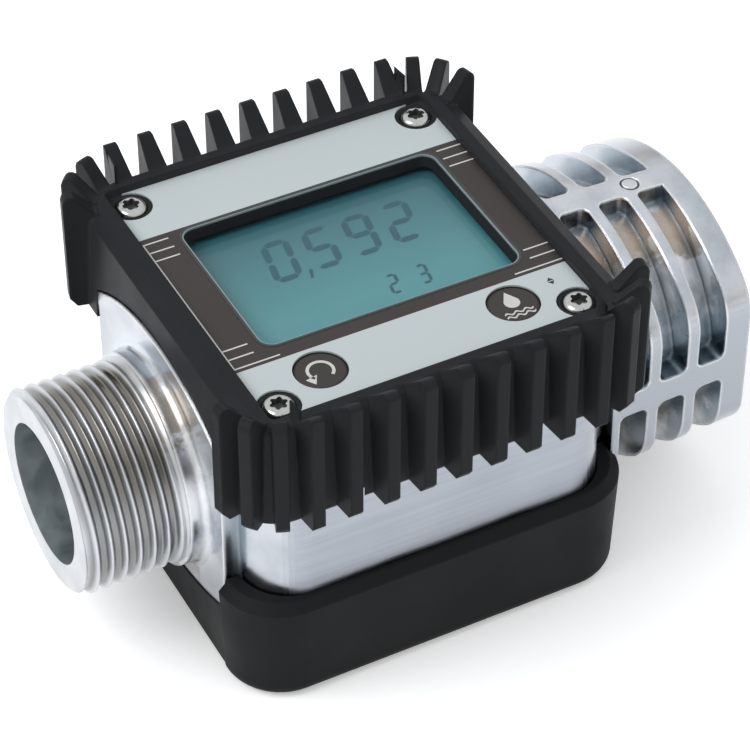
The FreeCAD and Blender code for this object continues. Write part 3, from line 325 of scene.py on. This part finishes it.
def printed_label():
    """Pale grey film with a faint grain."""
    look = Material("printed_label", (0.43, 0.475, 0.48), 0.42)
    cloud = look.noise(50, detail=2)
    look.color(look.blend(cloud, (0.415, 0.465, 0.475), (0.44, 0.488, 0.495)))
    look.roughness(look.span(cloud, 0.36, 0.48))
    look.bump(look.noise(3000), 0.006 * MM, 0.4)
    return look.material


def plain(name, color, roughness, metallic=0.0, vary=0.12, scale=400, relief=0.01, **sockets):
    """Material of a small part: its colour varied by noise, with a relief in millimetres."""
    look = Material(name, color, roughness, metallic, **sockets)
    cloud = look.noise(scale, detail=3)
    dark = tuple(c * (1 - vary) for c in color)
    light = tuple(min(1, c * (1 + vary)) for c in color)
    look.color(look.blend(cloud, dark, light))
    look.roughness(look.span(cloud, roughness * 0.85, min(1, roughness * 1.15), 0.3, 0.7))
    look.bump(look.noise(scale * 8, detail=2), relief * MM, 0.4)
    return look.material


def print_ink(name, color, roughness, vary, **sockets):
    """Even colour of a print or of the display's figures."""
    return plain(name, color, roughness, vary=vary, scale=60, **sockets)


# materials of the CAD nodes, by slot
MATERIALS = {
    "cast_aluminium": cast_aluminium(),
    "black_plastic": moulded_plastic(),
    "face_label": printed_label(),
    "window_glass": clear_window(),
    "lcd": liquid_crystal(),
    "elastomer": plain("elastomer", (0.03, 0.03, 0.03), 0.6),
    "board": plain("circuit_board_mask", (0.02, 0.14, 0.06), 0.35),
    "component": plain("moulded_component", (0.03, 0.03, 0.03), 0.5),
    "button": plain("keypad_button", (0.034, 0.030, 0.028), 0.5, vary=0.08,
                    Specular_IOR_Level=0.3),
    "zinc_steel": plain("zinc_steel", (0.50, 0.51, 0.49), 0.18, 1.0, vary=0.1, scale=700,
                        relief=0.002),
    "rotor_plastic": plain("natural_acetal", (0.62, 0.60, 0.55), 0.4, vary=0.06),
    "bronze": plain("sintered_bronze", (0.50, 0.33, 0.15), 0.4, 1.0, relief=0.03),
    "steel": plain("stainless_steel", (0.60, 0.60, 0.60), 0.25, 1.0),
    "cover_rubber": cover_rubber(),
    "battery": plain("battery_wrap", (0.25, 0.28, 0.32), 0.35),
    "spring_brass": plain("plated_spring", (0.70, 0.60, 0.35), 0.3, 1.0),
}

# materials of the pieces added here
BAND_PRINT = print_ink("band_print", (0.034, 0.029, 0.027), 0.5, 0.06, Specular_IOR_Level=0.3)
LINE_PRINT = print_ink("line_print", (0.50, 0.50, 0.48), 0.45, 0.04)
SEGMENT_INK = print_ink("segment_ink", (0.022, 0.100, 0.130), 0.5, 0.05, Specular_IOR_Level=0.2)
RIM_PLASTIC = plain("rim_plastic", (0.022, 0.028, 0.028), 0.3, vary=0.1)
# pale colour of the window's bead: a painted highlight on the clear insert's edge
BEAD_PAINTED_HIGHLIGHT = plain("bead_painted_highlight", (0.20, 0.24, 0.25), 0.25, vary=0.1)
TURNED_METAL = turned_aluminium()
BORED_METAL = plain("bored_aluminium", (0.465, 0.51, 0.535), 0.42, 1.0)
# dark metal of the screws' recesses: painted shade
PAINTED_RECESS_SHADE = plain("painted_recess_shade", (0.040, 0.042, 0.041), 0.5, scale=700, relief=0.002)

slots = {part["node"]: part["material_slot"] for part in frame["record"]["subparts"]}
for name, item in nodes.items():
    for slot in item.material_slots:
        slot.material = MATERIALS[slots[name]]


# ---------------------------------------------------------------------------------------------
# Mesh helpers
# ---------------------------------------------------------------------------------------------
def add_piece(mesh, name, materials, body="housing"):
    """Add a mesh as a piece of a body; its faces keep their material indexes."""
    item = bpy.data.objects.new(name, mesh)
    bpy.context.scene.collection.objects.link(item)
    for material in materials:
        mesh.materials.append(material)
    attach(item, body)
    return item


def flat_plate(name, outlines, z, thickness, material, body="housing"):
    """Thin flat piece from closed outlines in the plane XY; an outline inside another is a hole."""
    curve = bpy.data.curves.new(name, "CURVE")
    curve.dimensions = "2D"
    curve.fill_mode = "BOTH"
    curve.extrude = thickness / 2
    for outline in outlines:
        spline = curve.splines.new("POLY")
        spline.points.add(len(outline) - 1)
        for point, (x, y) in zip(spline.points, outline):
            point.co = (x, y, 0, 1)
        spline.use_cyclic_u = True
    holder = bpy.data.objects.new(name + "_curve", curve)
    mesh = bpy.data.meshes.new_from_object(holder)
    mesh.name = name
    for vertex in mesh.vertices:
        vertex.co.z += z + thickness / 2
    bpy.data.objects.remove(holder)
    bpy.data.curves.remove(curve)
    return add_piece(mesh, name, [material], body)


def arc(x, y, radius, start, end, steps):
    """Points along an arc, angles in degrees."""
    angles = [math.radians(start + (end - start) * i / steps) for i in range(steps + 1)]
    return [(x + radius * math.cos(a), y + radius * math.sin(a)) for a in angles]


def rectangle(left, right, low, high):
    return [(left, low), (right, low), (right, high), (left, high)]


def rounded_rectangle(left, right, low, high, corner):
    points = []
    for x, y, start in ((right - corner, high - corner, 0), (left + corner, high - corner, 90),
                        (left + corner, low + corner, 180), (right - corner, low + corner, 270)):
        points += arc(x, y, corner, start, start + 90, 6)
    return points


def placed(x, y, points):
    """Points given in millimetres, moved to x, y."""
    return [(x + u * MM, y + v * MM) for u, v in points]


def top_centre(name):
    """X and Y of the middle of a CAD node's box, and Z of its top."""
    low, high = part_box(name)
    return (low.x + high.x) / 2, (low.y + high.y) / 2, high.z


# ---------------------------------------------------------------------------------------------
# Cast body with its pipe threads
# ---------------------------------------------------------------------------------------------
TURN_STEPS = 144        # points round the axis
PITCH_STEPS = 18        # rows to a pitch
FLANK_START = 0.38      # where a flank leaves the flat root, as a share of half a pitch
FLANK_LENGTH = 0.56     # how far it runs until it meets the flat crest, as the same share
SPIGOT_RUNOUT = 0.8 * PITCH
PORT_RUNOUT = 2 * PITCH

BORE_REACH = 12.9 * MM  # radius that the bore's faces lie within
SLACK = 0.1 * MM
SQUARE_TO_AXIS = 0.9    # X of a face's normal from which it is an end face
ALONG_AXIS = 0.5        # X of a face's normal below which it can be a wall of the bore
TURNED, BORED = 1, 2    # material indexes on the casting


def tooth(phase):
    """Height of the thread's tooth, 0 at its flat root and 1 at its flat crest."""
    rise = 1 - abs(2 * (phase % 1) - 1)
    return min(1, max(0, (rise - FLANK_START) / FLANK_LENGTH))


def spigot_radius(x, height):
    """Radius of the outer thread, behind the chamfer at its face and running out at its root."""
    chamfer = SPIGOT_RADIUS - SPIGOT_CHAMFER + (x - SPIGOT_FACE)
    fade = min(1, max(0, (SPIGOT_ROOT - x) / SPIGOT_RUNOUT))
    return min(chamfer, SPIGOT_RADIUS - THREAD_DEPTH * (1 - height) * fade)


def port_radius(x, height):
    """Radius of the inner thread, behind the chamfer at its face and running out inwards."""
    chamfer = PORT_RADIUS + PORT_CHAMFER - (PORT_FACE - x)
    fade = min(1, max(0, (x - PORT_SHOULDER) / PORT_RUNOUT))
    return max(chamfer, PORT_RADIUS + THREAD_DEPTH * (1 - height) * fade)


def add_thread(work, start, end, radius_at, outward):
    """Add a helical thread surface about the flow axis to a bmesh, from start to end along X."""
    rows = max(2, round((end - start) / PITCH * PITCH_STEPS))
    grid = []
    for i in range(rows + 1):
        x = start + (end - start) * i / rows
        ring = []
        for j in range(TURN_STEPS):
            angle = math.tau * j / TURN_STEPS
            radius = radius_at(x, tooth(x / PITCH - j / TURN_STEPS))
            place = (x, radius * math.cos(angle), AXIS_Z + radius * math.sin(angle))
            ring.append(work.verts.new(place))
        grid.append(ring)
    for low, high in zip(grid, grid[1:]):
        for j in range(TURN_STEPS):
            k = (j + 1) % TURN_STEPS
            corners = (low[j], low[k], high[k], high[j])
            face = work.faces.new(corners if outward else corners[::-1])
            face.smooth = True
            face.material_index = TURNED


def from_axis(place):
    """Distance of a point from the flow axis."""
    return math.hypot(place.y, place.z - AXIS_Z)


def on_wall(face, low, high, inner, outer):
    """Whether a face is part of a round wall that lies between two X and two radii."""
    return abs(face.normal.x) < SQUARE_TO_AXIS and all(
        low < vertex.co.x < high and inner < from_axis(vertex.co) < outer for vertex in face.verts)


def body_casting():
    """The cast body with threads for its two plain cylinders, and bored metal at the inlet."""
    mesh = nodes["meter_body"].data.copy()
    mesh.materials.clear()
    work = bmesh.new()
    work.from_mesh(mesh)
    walls = ((SPIGOT_FACE - SLACK, SPIGOT_ROOT + SLACK,
              SPIGOT_RADIUS - SPIGOT_CHAMFER - SLACK, SPIGOT_RADIUS + SLACK),
             (PORT_SHOULDER - SLACK, PORT_FACE + SLACK,
              PORT_RADIUS - SLACK, PORT_RADIUS + PORT_CHAMFER + SLACK))
    gone = [face for face in work.faces if any(on_wall(face, *wall) for wall in walls)]
    bmesh.ops.delete(work, geom=gone, context="FACES")
    for face in work.faces:
        centre = face.calc_center_median()
        along = face.normal.x
        if centre.x < 0 and from_axis(centre) < BORE_REACH and abs(along) < ALONG_AXIS:
            face.material_index = BORED
        elif centre.x < SPIGOT_FACE + SLACK and along < -SQUARE_TO_AXIS:
            face.material_index = TURNED
    add_thread(work, SPIGOT_FACE, SPIGOT_ROOT, spigot_radius, True)
    add_thread(work, PORT_SHOULDER, PORT_FACE, port_radius, False)
    work.to_mesh(mesh)
    work.free()
    mesh.name = "body_casting"
    metals = [MATERIALS["cast_aluminium"], TURNED_METAL, BORED_METAL]
    item = add_piece(mesh, "body_casting", metals)
    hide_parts("meter_body")


# ---------------------------------------------------------------------------------------------
# Screws with six-lobed recesses
# ---------------------------------------------------------------------------------------------
SCREW_STEPS = 72
LOBES = 6
LOBE_SIZE = 0.48        # mean radius of the recess, as a share of the head's radius
LOBE_WAVE = 0.17        # how far the lobes stand out, as a share of that mean radius
TIP_LENGTH = 0.8 * MM
FRAME_HEAD, FRAME_SHANK = 1.3 * MM, 1.45 * MM
COVER_HEAD, COVER_SHANK = 1.2 * MM, 1.3 * MM

# crown of the head: share of its radius, and share of its thickness below the top
CROWN = ((0.68, 0.04), (0.82, 0.16), (0.93, 0.36), (0.99, 0.62), (1.0, 0.80), (0.97, 1.0))


def screw(name, up):
    """Pan head screw on the place of its CAD node; up is 1 for a head on top and -1 below."""
    low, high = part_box(name)
    centre = (low + high) / 2
    head = (high.x - low.x) / 2
    top, tip = (high.z, low.z) if up > 0 else (low.z, high.z)
    thick, shank = (FRAME_HEAD, FRAME_SHANK) if up > 0 else (COVER_HEAD, COVER_SHANK)
    length = abs(top - tip)
    lobe = LOBE_SIZE * head

    # radius, wave of the lobes, depth below the top, smooth shading, in the recess (dark metal as
    # painted shade)
    rings = [(0.2 * head, 0, 0.9 * thick, False, True),
             (0.94 * lobe, LOBE_WAVE, 0.8 * thick, False, True),
             (lobe, LOBE_WAVE, 0.02 * thick, False, True),
             (1.02 * lobe, LOBE_WAVE, 0, False, True)]
    rings += [(wide * head, 0, deep * thick, True, False) for wide, deep in CROWN]
    rings += [(shank, 0, thick, False, False),
              (shank, 0, length - TIP_LENGTH, False, False),
              (0.5 * shank, 0, length, False, False)]

    work = bmesh.new()
    grid = []
    for radius, wave, depth, _, _ in rings:
        ring = []
        for j in range(SCREW_STEPS):
            angle = math.tau * j / SCREW_STEPS
            reach = radius * (1 + wave * math.cos(LOBES * angle))
            ring.append(work.verts.new((centre.x + reach * math.cos(angle),
                                        centre.y + up * reach * math.sin(angle),
                                        top - up * depth)))
        grid.append(ring)
    for inner, outer, (_, _, _, smooth, in_recess) in zip(grid, grid[1:], rings[1:]):
        for j in range(SCREW_STEPS):
            k = (j + 1) % SCREW_STEPS
            face = work.faces.new((inner[j], outer[j], outer[k], inner[k]))
            face.smooth = smooth
            face.material_index = int(in_recess)
    work.faces.new(grid[0]).material_index = 1
    work.faces.new(grid[-1][::-1])
    mesh = bpy.data.meshes.new(name + "_lobed")
    work.to_mesh(mesh)
    work.free()
    # faces in the recess take a dark metal as painted shade
    metals = [MATERIALS["zinc_steel"], PAINTED_RECESS_SHADE]
    item = add_piece(mesh, name + "_lobed", metals)
    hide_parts(name)


# ---------------------------------------------------------------------------------------------
# Label print and the window's edge
# ---------------------------------------------------------------------------------------------
label_low, label_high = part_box("face_label")
PRINT_Z = label_high.z
PRINT = 0.03 * MM
BAND_FRONT = label_low.y + 12.6 * MM
BAND_REAR = label_high.y - 11.9 * MM
BAND_INSET = 0.02 * MM

glass_low, glass_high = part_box("display_window")
WINDOW_LIP = 1.6 * MM
WINDOW_CORNER = 2.4 * MM
WINDOW_PLAY = 0.05 * MM
RIM_EDGES = (-0.45 * MM, -0.02 * MM)    # inset from the window's outline; outside it below 0
BEAD_EDGES = (0.0, 0.2 * MM)
RIM_HEIGHT = 0.06 * MM
BEAD_SINK = 0.3 * MM

# light rules on the band: distances from its rear and front edges, and ends of the short ones
RULE = 0.28 * MM
RULE_MARGIN = 0.35 * MM
RULE_GAP = 0.01 * MM
REAR_RULES = (1.3 * MM, 3.5 * MM, 5.6 * MM)
FRONT_RULES = (5.1 * MM, 3.0 * MM)
FOOT_RULE = 0.6 * MM
SHORT_ENDS = (4.7 * MM, 4.3 * MM)       # from the band's left edge, from its right edge
FOOT_ENDS = (7.9 * MM, 8.2 * MM)


def window_outline(inset, corner):
    """Outline of the window's mouth, moved inwards."""
    return rounded_rectangle(glass_low.x + WINDOW_LIP + inset, glass_high.x - WINDOW_LIP - inset,
                             glass_low.y + WINDOW_LIP + inset, glass_high.y - WINDOW_LIP - inset,
                             corner)


def label_print():
    """Dark band across the label round the window, with thin light rules at its ends."""
    left, right = label_low.x + BAND_INSET, label_high.x - BAND_INSET
    band = [rectangle(left, right, BAND_FRONT, BAND_REAR),
            window_outline(-WINDOW_PLAY, WINDOW_CORNER)]
    flat_plate("label_band", band, PRINT_Z, PRINT, BAND_PRINT)

    upright = left + RULE_MARGIN + RULE
    foot = BAND_FRONT + FOOT_RULE
    levels = [BAND_REAR - depth for depth in REAR_RULES]
    levels += [BAND_FRONT + height for height in FRONT_RULES]
    rules = [rectangle(left + RULE_MARGIN, upright, foot, levels[0] + RULE / 2)]
    for start, end in ((upright + RULE_GAP, left + SHORT_ENDS[0]), (right - SHORT_ENDS[1], right)):
        rules += [rectangle(start, end, y - RULE / 2, y + RULE / 2) for y in levels]
    for start, end in ((upright + RULE_GAP, left + FOOT_ENDS[0]), (right - FOOT_ENDS[1], right)):
        rules.append(rectangle(start, end, foot, foot + RULE))
    flat_plate("label_rules", rules, PRINT_Z + PRINT, PRINT, LINE_PRINT)


def window_edge():
    """Dark rim on the label round the window's recess, and the edge of the clear insert painted
    pale as its highlight.
    """
    rim, bead = ([window_outline(inset, WINDOW_CORNER - inset) for inset in edges]
                 for edges in (RIM_EDGES, BEAD_EDGES))
    flat_plate("window_rim", rim, PRINT_Z + PRINT, RIM_HEIGHT, RIM_PLASTIC)
    # the bead's pale colour is a painted highlight on the edge of the clear insert
    flat_plate("window_bead", bead, PRINT_Z - BEAD_SINK, BEAD_SINK + PRINT, BEAD_PAINTED_HIGHLIGHT)


# ---------------------------------------------------------------------------------------------
# Display figures and button signs
# ---------------------------------------------------------------------------------------------
SEGMENTS = {"0": "abcdef", "1": "bc", "2": "abged", "3": "abgcd", "4": "fgbc", "5": "afgcd",
            "6": "afgedc", "7": "abc", "8": "abcdefg", "9": "abcdfg"}
SLANT = 0.17            # sideways lean of a figure to its height
BAR_WIDTH = 0.12        # shares of a figure's height
BAR_GAP = 0.012
COMMA_BACK = 1.0 * MM
COMMA = ((0.0, 0.9), (-0.5, -1.1), (-0.1, -1.1), (0.7, 0.9))
FIGURE_THICKNESS = 0.02 * MM

RESET_RING = (2.2 * MM, 1.7 * MM)       # outer and inner radius
RESET_SWEEP = (-50, 220)
RESET_HEAD = ((-2.9, -1.0), (-0.9, -0.6), (-1.9, -2.5))
DROP_TIP = 2.9 * MM                     # heights from the middle of the button
DROP_CENTRE = 0.4 * MM
DROP_RADIUS = 1.25 * MM
WAVE_LEVELS = (-1.7 * MM, -2.5 * MM)
WAVE_HEIGHT = 0.25 * MM
WAVE_WIDTH = 0.32 * MM
ARROW_HEAD = ((-0.55, 0.1), (0.55, 0.1), (0.0, 0.8))
ARROWS_X = label_low.x + 51.4 * MM
ARROWS_Y = label_low.y + 9.55 * MM


def figure(sign, x, y, height, narrow):
    """Outlines of one seven-segment figure with its lower left corner at x, y."""
    width, bar, gap = narrow * height, BAR_WIDTH * height, BAR_GAP * height
    half, side = height / 2, bar / 2
    level = {"a": height - side, "g": half, "d": side}
    outlines = []
    for segment in SEGMENTS[sign]:
        if segment in level:
            v = level[segment]
            points = [(side + gap, v), (bar + gap, v + side), (width - bar - gap, v + side),
                      (width - side - gap, v), (width - bar - gap, v - side), (bar + gap, v - side)]
        else:
            u = width - side if segment in "bc" else side
            low, high = (half, height - side) if segment in "bf" else (side, half)
            points = [(u, low + gap), (u + side, low + side + gap), (u + side, high - side - gap),
                      (u, high - gap), (u - side, high - side - gap), (u - side, low + side + gap)]
        outlines.append([(x + u + SLANT * v, y + v) for u, v in points])
    return outlines


def figure_row(signs, x, y, height, narrow, step):
    """Outlines of a row of figures; a comma takes up no step."""
    outlines = []
    for sign in signs:
        if sign == ",":
            outlines.append(placed(x - COMMA_BACK, y, COMMA))
        else:
            outlines += figure(sign, x, y, height, narrow)
            x += step
    return outlines


def display_figures():
    """A large number on the display, with two small figures in front of it."""
    low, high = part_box("lcd_panel")
    outlines = figure_row("0,592", low.x + 10.6 * MM, low.y + 16.7 * MM,
                          height=9.6 * MM, narrow=0.50, step=6.9 * MM)
    outlines += figure_row("23", low.x + 25.2 * MM, low.y + 6.4 * MM,
                           height=4.6 * MM, narrow=0.42, step=5.1 * MM)
    flat_plate("display_figures", outlines, high.z, FIGURE_THICKNESS, SEGMENT_INK)


def reset_sign():
    """A return arrow on the reset button."""
    x, y, top = top_centre("reset_button")
    outer, inner = RESET_RING
    start, end = RESET_SWEEP
    ring = arc(x, y, outer, start, end, 24) + arc(x, y, inner, end, start, 24)
    outlines = [ring, placed(x, y, RESET_HEAD)]
    flat_plate("reset_sign", outlines, top, PRINT, LINE_PRINT, "reset_key")


def choice_arrows():
    """Two small arrow heads on the label, pointing to the rear and to the front."""
    heads = [placed(ARROWS_X, ARROWS_Y, [(u, side * v) for u, v in ARROW_HEAD])
             for side in (1, -1)]
    flat_plate("choice_arrows", heads, PRINT_Z, PRINT, BAND_PRINT)


def flow_sign():
    """A drop over two waves on the flow rate button."""
    x, y, top = top_centre("flow_rate_button")
    outlines = [[(x, y + DROP_TIP)] + arc(x, y + DROP_CENTRE, DROP_RADIUS, 25, -205, 20)]
    for level in WAVE_LEVELS:
        crest = [(x + (-2.4 + 0.2 * i) * MM, y + level + WAVE_HEIGHT * math.sin(i * math.pi / 4))
                 for i in range(25)]
        outlines.append(crest + [(u, v - WAVE_WIDTH) for u, v in reversed(crest)])
    flat_plate("flow_sign", outlines, top, PRINT, LINE_PRINT, "flow_rate_key")


# ---------------------------------------------------------------------------------------------
# Stage, light and camera
# ---------------------------------------------------------------------------------------------
WHITE = (1, 1, 1)
CEILING = (1.0, 1.02, 1.05)
CEILING_SHARE = 0.85
CEILING_RISE = (0.2, 0.6)               # height of a direction: 0 is level, 1 is straight up
WALLS_RISE = (0.13, 0.25)
WALLS = ((0.34, (0.34, 0.37, 0.41)), (0.47, (0.70, 0.66, 0.60)), (1.0, WHITE))
FLOOR_HALF = 4
FLOOR_GLOW = 0.25
LAMP_PLACE = Vector((-0.6, 0.05, 0.7))
LAMP_TARGET = Vector((0, 0, 0.03))
LAMP_SIDE = 0.5
LAMP_POWER = 3.5
CAMERA_TARGET = Vector((4.13 * MM, 0, 28.68 * MM))
CAMERA_AZIMUTH = math.radians(-27.59)
CAMERA_ELEVATION = math.radians(41.74)
CAMERA_DISTANCE = 492.56 * MM
CAMERA_LENS, CAMERA_SENSOR = 149.65, 36


def make_stage():
    """Pale floor, with a glow of its own to eyes, reflections and clear plastic."""
    look = Material("stage_floor", (0.93, 0.93, 0.93), 0.7)
    look.color(look.blend(look.noise(6), (0.92, 0.92, 0.92), (0.94, 0.94, 0.94)))
    path = look.node("ShaderNodeLightPath").outputs
    seen = look.math("MAXIMUM", path["Is Camera Ray"], path["Is Glossy Ray"])
    seen = look.math("MAXIMUM", seen, path["Is Transmission Ray"])
    look.shader.inputs["Emission Color"].default_value = (*WHITE, 1)
    look.link(look.span(seen, 0, FLOOR_GLOW), look.shader.inputs["Emission Strength"])
    work = bmesh.new()
    bmesh.ops.create_grid(work, x_segments=4, y_segments=4, size=FLOOR_HALF)
    mesh = bpy.data.meshes.new("floor")
    work.to_mesh(mesh)
    work.free()
    mesh.materials.append(look.material)
    floor = bpy.data.objects.new("floor", mesh)
    bpy.context.scene.collection.objects.link(floor)


def make_light():
    """Studio, white at eye level, with patchy walls above, a bright ceiling and one soft lamp."""
    world = bpy.data.worlds.new("studio")
    bpy.context.scene.world = world
    world.use_nodes = True
    sky = Nodes(world.node_tree, "Generated")
    walls = sky.node("ShaderNodeValToRGB")
    stops = walls.color_ramp.elements
    stops.new(0.5)
    for stop, (position, color) in zip(stops, WALLS):
        stop.position = position
        stop.color = (*color, 1)
    sky.link(sky.noise(1.6, detail=1.5), walls.inputs["Fac"])
    height = sky.axes(sky.place)["Z"]
    ceiling = sky.span(height, 0, CEILING_SHARE, *CEILING_RISE, "SMOOTHSTEP")
    above = sky.span(height, 0, 1, *WALLS_RISE, "SMOOTHSTEP")
    room = sky.blend(ceiling, walls.outputs["Color"], CEILING)
    background = sky.tree.nodes["Background"].inputs["Color"]
    sky.link(sky.blend(above, WHITE, room), background)

    data = bpy.data.lights.new("key", "AREA")
    data.shape = "RECTANGLE"
    data.size = data.size_y = LAMP_SIDE
    data.energy = LAMP_POWER
    lamp = bpy.data.objects.new("key", data)
    bpy.context.scene.collection.objects.link(lamp)
    lamp.location = LAMP_PLACE
    lamp.rotation_euler = (LAMP_TARGET - LAMP_PLACE).to_track_quat("-Z", "Y").to_euler()


def make_camera():
    """Camera that looks down on the front left of the meter."""
    back = Vector((math.sin(CAMERA_AZIMUTH) * math.cos(CAMERA_ELEVATION),
                   -math.cos(CAMERA_AZIMUTH) * math.cos(CAMERA_ELEVATION),
                   math.sin(CAMERA_ELEVATION)))
    data = bpy.data.cameras.new("camera")
    data.lens = CAMERA_LENS
    data.sensor_width = CAMERA_SENSOR
    camera = bpy.data.objects.new("camera", data)
    bpy.context.scene.collection.objects.link(camera)
    camera.location = CAMERA_TARGET + back * CAMERA_DISTANCE
    camera.rotation_euler = back.to_track_quat("Z", "Y").to_euler()
    bpy.context.scene.camera = camera


body_casting()
for corner in ("left_front", "left_rear", "right_front", "right_rear"):
    screw(f"frame_screw_{corner}", 1)
    screw(f"cover_screw_{corner}", -1)
label_print()
display_figures()
window_edge()
reset_sign()
choice_arrows()
flow_sign()
make_stage()
make_light()
make_camera()
bpy.context.scene.view_settings.view_transform = "Standard"
